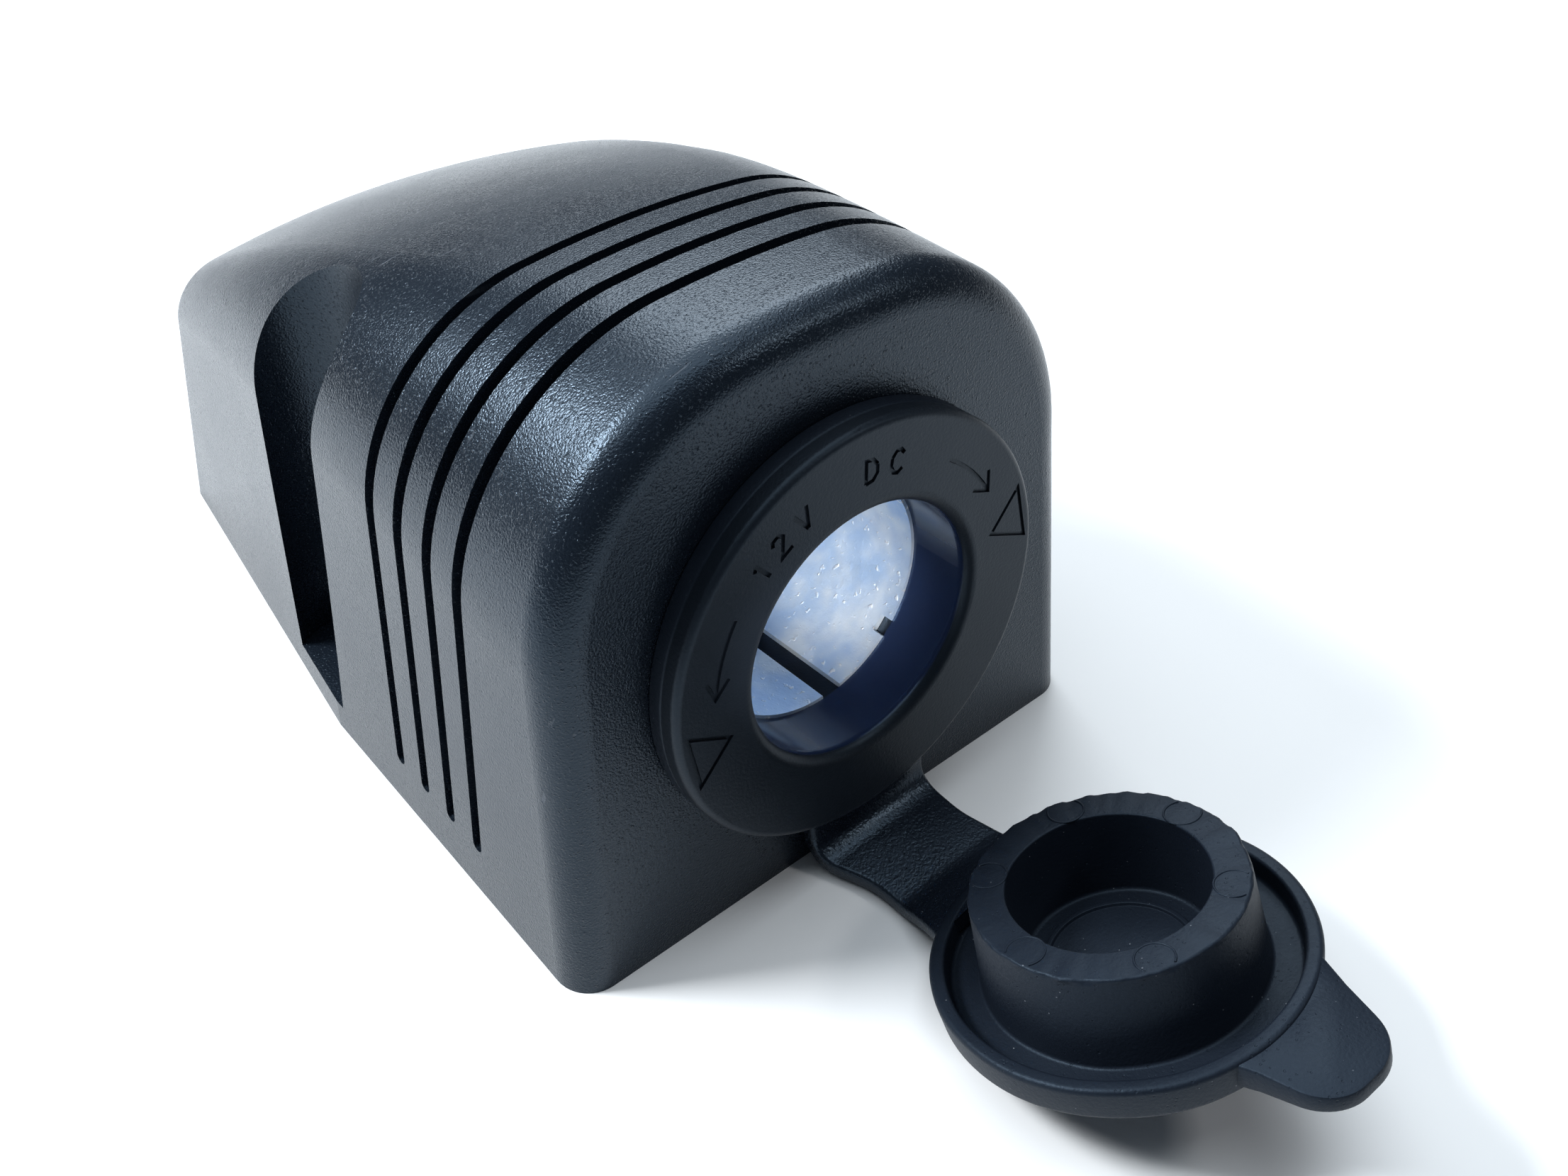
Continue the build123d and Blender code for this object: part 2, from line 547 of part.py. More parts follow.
def cap_tab():
    """The finger tab on the far side from the strap."""
    outline = Polyline(
        (TAB_X - TAB_HALF_WIDTH, -CAP_RIM_INNER / 2),
        (TAB_X - TAB_HALF_WIDTH, -TAB_ROOT_Y),
        (TAB_X - TAB_TIP_HALF_WIDTH, -TAB_LENGTH),
        (TAB_X + TAB_TIP_HALF_WIDTH, -TAB_LENGTH),
        (TAB_X + TAB_HALF_WIDTH, -TAB_ROOT_Y),
        (TAB_X + TAB_HALF_WIDTH, -CAP_RIM_INNER / 2),
        close=True,
    )
    tab = Pos(0, 0, TAB_LOW) * extrude(make_face(outline), TAB_THICK)
    tips = tab.edges().filter_by(Axis.Z).group_by(Axis.Y)[0]
    tab = fillet(tips, TAB_TIP_RADIUS)
    return tab - drum((CAP_RIM_INNER + CAP_RADIUS) / 2, -PAST, PLUG_HEIGHT)


NODES = {
    "housing_shell": housing_shell,
    "socket_barrel": socket_barrel,
    "lock_nut": lock_nut,
    "contact_sleeve": contact_sleeve,
    "inner_insulator": inner_insulator,
    "centre_contact": centre_contact,
    "rear_insulator": rear_insulator,
    "positive_terminal": positive_terminal,
    "positive_lock_washer": positive_lock_washer,
    "positive_nut": positive_nut,
    "negative_terminal": negative_terminal,
    "negative_rivet": negative_rivet,
    "tether_ring": tether_ring,
    "strap_link": strap_link,
    "strap_end": strap_end,
    "cap": cap,
}

for name, build in NODES.items():
    export_step(build(), f"parts/{name}.step")
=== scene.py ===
"""The looks of a surface-mount power socket: moulded housing, round socket and a rubber cap on a strap."""

import json
import math

import bmesh
import bpy
from mathutils import Matrix, Vector, noise

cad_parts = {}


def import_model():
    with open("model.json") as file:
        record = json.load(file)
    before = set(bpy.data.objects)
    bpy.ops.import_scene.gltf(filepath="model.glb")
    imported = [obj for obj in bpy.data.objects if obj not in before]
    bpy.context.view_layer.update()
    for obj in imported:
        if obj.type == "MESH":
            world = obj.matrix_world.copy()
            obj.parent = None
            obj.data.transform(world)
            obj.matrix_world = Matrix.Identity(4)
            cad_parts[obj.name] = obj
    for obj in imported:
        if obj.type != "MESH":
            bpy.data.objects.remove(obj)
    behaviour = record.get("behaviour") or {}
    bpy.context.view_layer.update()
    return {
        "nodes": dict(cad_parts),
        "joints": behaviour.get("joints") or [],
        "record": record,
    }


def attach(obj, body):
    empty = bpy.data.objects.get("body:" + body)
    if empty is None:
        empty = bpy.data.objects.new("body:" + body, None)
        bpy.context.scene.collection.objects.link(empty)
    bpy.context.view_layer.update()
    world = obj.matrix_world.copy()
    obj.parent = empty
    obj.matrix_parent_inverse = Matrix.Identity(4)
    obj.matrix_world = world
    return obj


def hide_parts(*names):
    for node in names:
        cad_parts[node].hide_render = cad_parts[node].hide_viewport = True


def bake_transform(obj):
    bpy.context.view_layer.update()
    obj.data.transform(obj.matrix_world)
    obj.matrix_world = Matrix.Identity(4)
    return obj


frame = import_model()
RECORD = frame["record"]
JOINTS = {joint["name"]: joint for joint in frame["joints"]}
MOUNTS = {mount["name"]: mount for mount in RECORD["mounts"]}
MM = 0.001

# ---------------------------------------------------------------- camera
CAMERA_AT = Vector((-58.70, -100.69, 103.06)) * MM
CAMERA_AZIMUTH = math.radians(40.95)
CAMERA_ELEVATION = math.radians(42.26)
CAMERA_ROLL = math.radians(0.94)
CAMERA_LENS = 34.57
CAMERA_SENSOR = 36.0


def place_camera():
    data = bpy.data.cameras.new("camera")
    data.lens = CAMERA_LENS
    data.sensor_width = CAMERA_SENSOR
    data.sensor_fit = "HORIZONTAL"
    data.clip_start = 0.005
    data.clip_end = 20
    camera = bpy.data.objects.new("camera", data)
    turn = Matrix.Rotation(-CAMERA_AZIMUTH, 4, "Z")
    tip = Matrix.Rotation(math.pi / 2 - CAMERA_ELEVATION, 4, "X")
    roll = Matrix.Rotation(CAMERA_ROLL, 4, "Z")
    camera.matrix_world = Matrix.Translation(CAMERA_AT) @ turn @ tip @ roll
    bpy.context.scene.collection.objects.link(camera)
    bpy.context.scene.camera = camera


place_camera()


# ---------------------------------------------------------------- finishes
class Flow:
    """A shader socket that takes part in Python expressions."""

    def __init__(self, finish, socket):
        self.finish = finish
        self.socket = socket

    def math(self, operation, other=0.0, flipped=False):
        first, second = (other, self) if flipped else (self, other)
        return self.finish.node("ShaderNodeMath", {"operation": operation}, {0: first, 1: second})

    def __add__(self, other):
        return self.math("ADD", other)

    def __sub__(self, other):
        return self.math("SUBTRACT", other)

    def __rsub__(self, other):
        return self.math("SUBTRACT", other, flipped=True)

    def __mul__(self, other):
        return self.math("MULTIPLY", other)

    def __pow__(self, other):
        return self.math("POWER", other)

    def __lt__(self, other):
        return self.math("LESS_THAN", other)

    __radd__ = __add__
    __rmul__ = __mul__


class Finish:
    """A procedural material on a Principled shader, read in Object coordinates."""

    def __init__(self, name, **fixed):
        self.material = bpy.data.materials.new(name)
        self.material.use_nodes = True
        self.tree = self.material.node_tree
        self.shader = self.tree.nodes["Principled BSDF"]
        self.place = self.node("ShaderNodeTexCoord", output="Object")
        for socket, value in fixed.items():
            self.shader.inputs[socket.replace("_", " ")].default_value = value

    def node(self, kind, settings=None, inputs=None, output=0):
        """A node of one kind, with its settings, and the values or links of its sockets."""
        made = self.tree.nodes.new(kind)
        for key, value in (settings or {}).items():
            setattr(made, key, value)
        for key, value in (inputs or {}).items():
            if isinstance(value, Flow):
                self.tree.links.new(value.socket, made.inputs[key])
            else:
                made.inputs[key].default_value = value
        return Flow(self, made.outputs[output])

    def noise(self, scale, detail=2.0, roughness=0.5, place=None):
        """Cloudy noise from 0 to 1, with scale as features in a metre."""
        inputs = {"Vector": place or self.place, "Scale": scale, "Detail": detail, "Roughness": roughness}
        return self.node("ShaderNodeTexNoise", None, inputs)

    def cells(self, scale):
        """Distance to the nearest of many scattered points, scale of them in a metre."""
        return self.node("ShaderNodeTexVoronoi", None, {"Vector": self.place, "Scale": scale}, "Distance")

    def moved(self, offset=(0, 0, 0), turn=(0, 0, 0), scale=(1, 1, 1)):
        """The place seen from an origin at offset, then stretched and turned."""
        shifted = self.node("ShaderNodeVectorMath", {"operation": "SUBTRACT"}, {0: self.place, 1: offset})
        inputs = {"Vector": shifted, "Rotation": turn, "Scale": scale}
        return self.node("ShaderNodeMapping", {"vector_type": "POINT"}, inputs)

    def step(self, value, low, high):
        """0 at low, 1 at high and smooth between, whichever of the two is greater."""
        inputs = {"Value": value, "From Min": low, "From Max": high}
        return self.node("ShaderNodeMapRange", {"interpolation_type": "SMOOTHSTEP"}, inputs)

    def mix(self, share, first, second):
        """A colour between two colours."""
        return self.node("ShaderNodeMix", {"data_type": "RGBA"}, {0: share, 6: first, 7: second}, 2)

    def split(self, vector):
        return [self.node("ShaderNodeSeparateXYZ", None, {0: vector}, axis) for axis in "XYZ"]

    def bump(self, height, distance):
        return self.node("ShaderNodeBump", None, {"Height": height, "Distance": distance})

    def use(self, **linked):
        """Feeds the shader's sockets, with _ for each space in their names, and gives the material."""
        for socket, value in linked.items():
            self.tree.links.new(value.socket, self.shader.inputs[socket.replace("_", " ")])
        return self.material


BLUE_SHEEN = (0.58, 0.78, 1.0, 1)   # painted blue light: tints the reflections of the black plastic and rubber in place of bluer lamps


def moulded_plastic(name, dark, light, roughness, grain, grain_height):
    """Moulded plastic: a fine spark-eroded grain, soft mottling, hairline scratches and dust."""
    finish = Finish(name, IOR=1.46, Specular_Tint=BLUE_SHEEN, Specular_IOR_Level=0.44)
    mottling = finish.noise(55, 3, 0.55)
    fine = finish.noise(grain, 1, 0.5)
    sparkle = finish.step(finish.noise(grain * 0.8, 1, 0.5, finish.moved((0.3, 0.1, 0.2))), 0.60, 0.78)
    hair = finish.noise(90, 2, 0.4, finish.moved(turn=(0.4, 0.2, 0.7), scale=(1, 26, 9)))
    scratches = finish.step(hair, 0.70, 0.76) * finish.step(finish.noise(38, 1), 0.52, 0.62)
    dust = (finish.cells(1500) < 0.045) * finish.step(finish.noise(160, 2), 0.50, 0.62)
    worn = finish.mix(scratches * 0.35, finish.mix(mottling, dark, light), (0.11, 0.12, 0.14, 1))
    colour = finish.mix(dust * 0.5, worn, (0.30, 0.31, 0.33, 1))
    rough = (mottling - 0.5) * 0.16 + fine * 0.10 + scratches * 0.12 + (roughness - 0.05)
    relief = finish.bump(fine * 0.6 + sparkle * 0.4 - scratches * 0.3, grain_height)
    return finish.use(Base_Color=colour, Roughness=rough, Normal=relief)


POLISHED_RADIUS = 10.85 * MM    # just outside the mouth's wall
POLISHED_FADE = 0.1 * MM


def socket_plastic():
    """The socket's plastic: satin on the flange and polished in the bore, where a lighter blue in its colour
    is a painted reflection.
    """
    finish = Finish("socket_plastic", IOR=1.46, Specular_Tint=BLUE_SHEEN, Specular_IOR_Level=0.34)
    bore = MOUNTS["socket_bore"]
    axis = Vector(bore["axis"])
    tilt = math.asin(axis.z)
    local = finish.moved(tuple(bore["pos_m"]), (tilt, 0, 0))
    across, along, up = finish.split(local)
    radius = (across * across + up * up) ** 0.5
    bore_wall = finish.step(radius, POLISHED_RADIUS + POLISHED_FADE, POLISHED_RADIUS)
    fine = finish.noise(4200, 2, 0.6)
    mottling = finish.noise(120, 3)
    colour = finish.mix(mottling, (0.0034, 0.0048, 0.0076, 1), (0.0068, 0.0092, 0.0138, 1))
    # In the bore the colour turns a lighter blue: a painted reflection on the polished wall.
    colour = finish.mix(bore_wall, colour, (0.012, 0.020, 0.050, 1))
    rough = (0.40 + (mottling - 0.5) * 0.12 + fine * 0.08) * (1 - bore_wall) + bore_wall * 0.16
    relief = finish.bump(fine * (1 - bore_wall * 0.85), 0.000022)
    return finish.use(Base_Color=colour, Roughness=rough, Normal=relief)


def cap_rubber(name="cap_rubber", roughness=0.36, pit_depth=0.00006, gloss=0.27):
    """Black moulded rubber: matt, finely pitted, with a faint bloom and white specks of dust."""
    finish = Finish(name, IOR=1.46, Specular_Tint=BLUE_SHEEN, Specular_IOR_Level=gloss)
    bloom = finish.noise(140, 4, 0.6)
    pits = finish.noise(3600, 2, 0.6)
    holes = finish.step(finish.cells(1900), 0.20, 0.12) * finish.step(finish.noise(420, 2), 0.50, 0.58)
    specks = (finish.cells(1100) < 0.06) * finish.step(finish.noise(260, 2), 0.45, 0.58)
    bloomed = finish.mix(bloom, (0.0036, 0.0052, 0.0094, 1), (0.0080, 0.0112, 0.0180, 1))
    colour = finish.mix(specks * 0.5, bloomed, (0.22, 0.24, 0.27, 1))
    rough = bloom * 0.16 + pits * 0.12 + roughness
    relief = finish.bump(pits * 0.5 - holes * 0.5, pit_depth)
    return finish.use(Base_Color=colour, Roughness=rough, Normal=relief)


def sleeve_metal():
    """Bright plated sheet, drawn and mottled, with a frosted bloom."""
    finish = Finish("sleeve_metal", Metallic=0.72)
    patches = finish.noise(520, 4, 0.66)
    clouds = finish.step(finish.noise(150, 3, 0.55), 0.34, 0.66)
    sparkle = finish.step(finish.noise(1500, 2, 0.6), 0.60, 0.74)
    cloudy = finish.mix(clouds, (0.50, 0.66, 0.88, 1), (0.92, 0.97, 1.0, 1))
    colour = finish.mix(sparkle * 0.8, cloudy, (1.0, 1.0, 1.0, 1))
    rough = 0.30 + patches * 0.30
    relief = finish.bump(patches * 0.7 + sparkle * 0.3, 0.00016)
    return finish.use(Base_Color=colour, Roughness=rough, Normal=relief)


def metal(name, dark, light, roughness, streaks):
    """Turned, stamped or plated metal with fine lines along its length."""
    finish = Finish(name)
    lines = finish.noise(900, 2, 0.5, finish.moved(scale=streaks))
    stain = finish.noise(260, 4)
    colour = finish.mix(stain, dark, light)
    rough = roughness + (lines - 0.5) * 0.22 + stain * 0.08
    relief = finish.bump(lines, 0.00002)
    finish.shader.inputs["Metallic"].default_value = 1.0
    return finish.use(Base_Color=colour, Roughness=rough, Normal=relief)


def fibre_board():
    finish = Finish("insulator_board")
    fibres = finish.noise(1300, 3, 0.6, finish.moved(turn=(0.1, 0.3, 0.8), scale=(1, 5, 1)))
    colour = finish.mix(fibres, (0.17, 0.075, 0.032, 1), (0.36, 0.19, 0.09, 1))
    return finish.use(Base_Color=colour, Roughness=fibres * 0.2 + 0.55, Normal=finish.bump(fibres, 0.00004))


FINISHES = {
    "housing_plastic": moulded_plastic(
        "housing_plastic", (0.0036, 0.0056, 0.0094, 1), (0.0070, 0.0105, 0.0165, 1), 0.28, 5600, 0.00007
    ),
    "socket_plastic": socket_plastic(),
    "nut_plastic": moulded_plastic(
        "nut_plastic", (0.014, 0.014, 0.015, 1), (0.026, 0.026, 0.028, 1), 0.5, 2800, 0.00003
    ),
    "sleeve_metal": sleeve_metal(),
    "insulator_board": fibre_board(),
    "contact_brass": metal("contact_brass", (0.62, 0.45, 0.19, 1), (0.80, 0.64, 0.33, 1), 0.24, (1, 8, 1)),
    "terminal_brass": metal("terminal_brass", (0.60, 0.46, 0.22, 1), (0.82, 0.70, 0.42, 1), 0.30, (9, 1, 9)),
    "steel_hardware": metal("steel_hardware", (0.42, 0.43, 0.45, 1), (0.66, 0.67, 0.68, 1), 0.32, (3, 3, 1)),
    "cap_rubber": cap_rubber(),
}
STRAP_RUBBER = cap_rubber("strap_rubber", 0.14, 0.00011, 0.62)

for part in RECORD["subparts"]:
    mesh = frame["nodes"][part["node"]].data
    mesh.materials.clear()
    mesh.materials.append(FINISHES[part["material_slot"]])


# ---------------------------------------------------------------- shapes
def rounded(points, steps=5):
    """The outline through (x, y, radius) corners, each rounded by its radius."""
    outline = []
    for index, (x, y, radius) in enumerate(points):
        corner = Vector((x, y))
        if radius == 0:
            outline.append(corner)
            continue
        before = (Vector(points[index - 1][:2]) - corner).normalized()
        after = (Vector(points[(index + 1) % len(points)][:2]) - corner).normalized()
        half = before.angle(after) / 2
        centre = corner + (before + after).normalized() * (radius / math.sin(half))
        start = corner + before * (radius / math.tan(half)) - centre
        end = corner + after * (radius / math.tan(half)) - centre
        for step in range(steps + 1):
            arm = start.slerp(end, step / steps)
            outline.append(centre + arm.normalized() * radius)
    return outline


def finished(name, mesh_edit, matrix=Matrix.Identity(4), material=FINISHES["cap_rubber"], smooth_angle=40):
    """A rubber piece at the origin from a closed bmesh, with its faces pointing outwards."""
    mesh_edit.transform(matrix)
    bmesh.ops.remove_doubles(mesh_edit, verts=mesh_edit.verts, dist=1e-7)
    bmesh.ops.recalc_face_normals(mesh_edit, faces=mesh_edit.faces)
    mesh = bpy.data.meshes.new(name)
    mesh_edit.to_mesh(mesh)
    mesh_edit.free()
    mesh.materials.append(material)
    piece = bpy.data.objects.new(name, mesh)
    bpy.context.scene.collection.objects.link(piece)
    mesh.shade_smooth()
    mesh.set_sharp_from_angle(angle=math.radians(smooth_angle))
    return piece


def turned(edit, outline, sides):
    """Adds to a bmesh the solid turned round Z from the (radius, height) outline."""
    rings = []
    for radius, height in outline:
        if radius < 1e-9:
            rings.append([edit.verts.new((0, 0, height))])
            continue
        ring = []
        for side in range(sides):
            angle = 2 * math.pi * side / sides
            ring.append(edit.verts.new((radius * math.cos(angle), radius * math.sin(angle), height)))
        rings.append(ring)
    closed = len(rings[0]) > 1
    pairs = zip(rings, rings[1:] + rings[:1]) if closed else zip(rings, rings[1:])
    for low, high in pairs:
        for side in range(sides):
            after = (side + 1) % sides
            corners = [
                low[side % len(low)],
                low[after % len(low)],
                high[after % len(high)],
                high[side % len(high)],
            ]
            edit.faces.new(dict.fromkeys(corners))


def section(half_width, half_thick, corner):
    """A flat strap's cross-section, with rounded edges."""
    corners = [
        (half_width, -half_thick, corner),
        (half_width, half_thick, corner),
        (-half_width, half_thick, corner),
        (-half_width, -half_thick, corner),
    ]
    return rounded(corners, 4)


def skinned(edit, loops):
    """Adds to a bmesh the skin over loops of points, closed at both ends."""
    rows = [[edit.verts.new(point) for point in loop] for loop in loops]
    for row, after in zip(rows, rows[1:]):
        for index in range(len(row)):
            step = (index + 1) % len(row)
            edit.faces.new([row[index], row[step], after[step], after[index]])
    edit.faces.new(rows[0])
    edit.faces.new(rows[-1])


def smooth(share):
    share = max(0.0, min(1.0, share))
    return share * share * (3 - 2 * share)


# ---------------------------------------------------------------- the socket's and the cap's own frames
def axes_at(across, up, out, origin):
    """The matrix of a frame with these axes at this origin."""
    return Matrix((
        (across.x, up.x, out.x, origin.x),
        (across.y, up.y, out.y, origin.y),
        (across.z, up.z, out.z, origin.z),
        (0, 0, 0, 1),
    ))


FRONT_FOOT_Y = -42.0 * MM       # the front face leans back from its foot
SIDEWAYS = Vector((1, 0, 0))
BORE_AT = Vector(MOUNTS["socket_bore"]["pos_m"])
SOCKET_AXIS = Vector(MOUNTS["socket_bore"]["axis"]).normalized()
SOCKET_UP = SIDEWAYS.cross(-SOCKET_AXIS).normalized()
FACE_TILT = math.asin(SOCKET_AXIS.z)
# The bore's axis crosses the leaning front face this far from the bore's middle.
TO_FACE = (BORE_AT.y - FRONT_FOOT_Y - BORE_AT.z * math.tan(FACE_TILT)) / (
    -SOCKET_AXIS.y + SOCKET_AXIS.z * math.tan(FACE_TILT)
)
SOCKET = axes_at(SIDEWAYS, SOCKET_UP, SOCKET_AXIS, BORE_AT + SOCKET_AXIS * TO_FACE)

CAP_CENTRE = Vector((4.05, -68.6, 4.98)) * MM   # middle of the cap's outer face, cap open
PLUG_AXIS = Vector(JOINTS["cap_press"]["axis"]).normalized()
CAP_ACROSS = Vector((0, 1, 0)).cross(PLUG_AXIS).normalized()
CAP_AWAY = PLUG_AXIS.cross(CAP_ACROSS)
CAP = axes_at(CAP_ACROSS, CAP_AWAY, PLUG_AXIS, CAP_CENTRE)
IN_MM = Matrix.Scale(MM, 4)

# ---------------------------------------------------------------- rubber tether and cap, in millimetres
RING_RADIUS = 18.2
RING_HOLE = 14.1
RING_LOW = 0.02
RING_THICK = 1.56

STRAP_HALF_THICK = 0.75
STRAP_EDGE = 0.42
STRAP_ROOT_X = 1.2
STRAP_ROOT_DOWN = -16.9         # from the socket's middle
STRAP_HALF = 6.4                # half its width at the ring, at its waist and at the cap
STRAP_WAIST_HALF = 5.55
STRAP_END_HALF = 5.8
STRAP_ROOT_Y = -43.5
STRAP_WAIST_Y = -48.9
STRAP_END_Y = -53.4
LOWER_FIRST = 0.01
STRAP_LEVEL = 1.1               # height of its middle where it lies flat
STRAP_BENDS = (2.9, 5.0)        # bend radii below the ring and before the cap
BEND_STEPS = 14
STATION_GAP = 0.3               # between stations on its straight runs
STATION_GAP_MOST = 0.32
FLARE_X = -1.45                 # where its flared end starts, from the cap's centre
FLARE_Y = 16.0
FLARE_STEPS = 9
FLARE_SPREAD = 0.12
FLARE_INTO_RIM = 0.6
FLARE_BELOW_RIM = 0.1

CAP_RADIUS = 14.6
CAP_RIM = 3.0
CAP_SLOPE = 0.25                # the rim's outside leans in this much towards the outer face
RIM_INNER = 13.35
CHANNEL_OUTER = 13.15
CHANNEL_INNER = 10.85
CHANNEL_FLOOR = 1.3
PLUG_RADIUS = 10.32
PLUG_TOP = 9.05
HOLLOW_TOP_RADIUS = 7.55
HOLLOW_RADIUS = 7.35
HOLLOW_FLOOR = 1.65
SPRUE_TOP = 1.9
TRIM_BAND = (9.95, 10.5)        # radii of the plug's roughly trimmed edge
TRIM_DEPTH = 0.3
WARP = 0.10                     # how far moulded rubber strays from round and flat
WARP_SCALE = 0.16
RUBBER_SEED = 5                 # noise_vector is drawn from the clock unless it has a seed

TAB_LOW, TAB_HIGH = 0.75, 2.05
TAB_EDGE = 0.22
TAB_END_Y = -20.9
TAB_RISE = 0.10                 # the tab climbs this much for each millimetre towards the rim
TAB_MIDDLE = Vector((0.9, -16.5))


def ring_piece():
    outline = rounded([
        (RING_RADIUS, RING_LOW, 0.2),
        (RING_RADIUS, RING_THICK, 0.3),
        (RING_HOLE, RING_THICK, 0),
        (RING_HOLE, RING_LOW, 0),
    ])
    edit = bmesh.new()
    turned(edit, outline, 160)
    return finished("tether_ring_rubber", edit, SOCKET @ IN_MM)


def strap_line():
    """Stations along the strap's middle as (y, z), and the point where its flared end starts."""
    top = SOCKET @ (Vector((0, STRAP_ROOT_DOWN, RING_THICK / 2)) * MM) / MM
    join = CAP @ (Vector((FLARE_X, FLARE_Y, CAP_RIM - STRAP_HALF_THICK)) * MM) / MM
    slope = CAP_AWAY.z / CAP_AWAY.y
    foot_y = top.y - (top.z - STRAP_LEVEL) * math.tan(FACE_TILT)
    meet_y = join.y + (STRAP_LEVEL - join.z) / slope
    near_bend, far_bend = STRAP_BENDS
    corners = [
        (top.y, top.z, 0),
        (foot_y, STRAP_LEVEL, near_bend),
        (meet_y, STRAP_LEVEL, far_bend),
        (join.y, join.z, 0),
    ]
    path = rounded(corners, BEND_STEPS)
    line = [path[0]]
    for point in path[1:]:
        while (point - line[-1]).length > STATION_GAP_MOST:
            line.append(line[-1] + (point - line[-1]).normalized() * STATION_GAP)
        line.append(point)
    return line, join


def strap_half_width(y):
    """Half the strap's width: drawn in at its waist, between its root and its flared end."""
    if y > STRAP_WAIST_Y:
        share = smooth((y - STRAP_WAIST_Y) / (STRAP_ROOT_Y - STRAP_WAIST_Y))
        return STRAP_WAIST_HALF + share * (STRAP_HALF - STRAP_WAIST_HALF)
    share = smooth((STRAP_WAIST_Y - y) / (STRAP_WAIST_Y - STRAP_END_Y))
    return STRAP_WAIST_HALF + share * (STRAP_END_HALF - STRAP_WAIST_HALF)


def strap_loop(line, index, join):
    """The strap's cross-section at one station, in metres."""
    point = line[index]
    ahead = line[min(index + 1, len(line) - 1)] - line[max(index - 1, 0)]
    ahead.normalize()
    up = Vector((-ahead.y, ahead.x))
    share = smooth((line[0].x - point.x) / (line[0].x - join.y))
    middle_x = STRAP_ROOT_X + share * (join.x - STRAP_ROOT_X)
    loop = []
    for across, thick in section(strap_half_width(point.x), STRAP_HALF_THICK, STRAP_EDGE):
        # The roll of the cap carries into the strap's far end.
        roll = share * (across * CAP_ACROSS.z)
        loop.append(Vector((middle_x + across, point.x + up.x * thick, point.y + up.y * thick + roll)) * MM)
    return loop


def strap_pieces():
    """The strap in two pieces that meet at its waist, and its last cross-section."""
    line, join = strap_line()
    # The split is the station nearest the waist, and the lower of two about as near.
    distances = [abs(point.x - STRAP_WAIST_Y) + point.y * LOWER_FIRST for point in line]
    split = distances.index(min(distances))
    loops = [strap_loop(line, index, join) for index in range(len(line))]
    made = []
    for name, part in (("strap_bend", loops[:split + 1]), ("strap_middle", loops[split:])):
        edit = bmesh.new()
        skinned(edit, part)
        made.append(finished(name, edit, material=STRAP_RUBBER))
    return made, loops[-1]


def strap_flare(end_loop):
    """The strap's end spreads and meets the round of the cap's rim."""
    to_cap = (CAP @ IN_MM).inverted()
    start = [to_cap @ point for point in end_loop]
    middle_height = sum(point.z for point in start) / len(start)
    climb = CAP_RIM - FLARE_BELOW_RIM - STRAP_HALF_THICK - middle_height
    loops = []
    for step in range(FLARE_STEPS + 1):
        share = step / FLARE_STEPS
        loop = []
        for point in start:
            x = FLARE_X + (point.x - FLARE_X) * (1 + FLARE_SPREAD * share ** 2)
            rim = math.sqrt((CAP_RADIUS - FLARE_INTO_RIM) ** 2 - x * x)
            loop.append(Vector((x, point.y + (rim - point.y) * share, point.z + climb * share)))
        loops.append(loop)
    edit = bmesh.new()
    skinned(edit, loops)
    return finished("strap_flare", edit, CAP @ IN_MM, STRAP_RUBBER)


def tab_layers():
    """The finger tab's outline at each height, from its underside to its top, which climbs to the rim."""
    outline = rounded([
        (-4.6, -12.9, 0),
        (-3.9, -15.2, 0),
        (-2.9, -20.6, 3.6),
        (4.3, -20.9, 4.0),
        (6.2, -15.2, 5),
        (7.6, -11.8, 0),
        (4.7, -13.2, 0),
        (1.5, -13.95, 0),
        (-1.7, -13.9, 0),
    ], 12)
    soft = TAB_EDGE * 0.3
    levels = [
        (TAB_LOW, TAB_EDGE),
        (TAB_LOW + soft, soft),
        (TAB_LOW + TAB_EDGE, 0),
        (TAB_HIGH - TAB_EDGE, 0),
        (TAB_HIGH - soft, soft),
        (TAB_HIGH, TAB_EDGE),
    ]
    layers = []
    for height, inset in levels:
        layer = []
        for point in outline:
            pull = (TAB_MIDDLE - point).normalized() * inset
            lift = TAB_RISE * (point.y - TAB_END_Y) if height > (TAB_LOW + TAB_HIGH) / 2 else 0
            layer.append(Vector((point.x + pull.x, point.y + pull.y, height + lift)))
        layers.append(layer)
    return layers


def roughened(point):
    """A point of the cap as moulded: never quite round or flat, and roughly trimmed round the plug's edge."""
    drift = noise.noise_vector(point * WARP_SCALE) * WARP
    inner, outer = TRIM_BAND
    if point.z > PLUG_TOP - TRIM_DEPTH and inner < math.hypot(point.x, point.y) < outer:
        ragged = noise.noise(point * 0.8) * 0.12 + noise.noise(point * 2.2) * 0.05
        point = point * (1 + ragged / PLUG_TOP)
    return point + Vector((drift.x, drift.y, drift.z * 0.6))


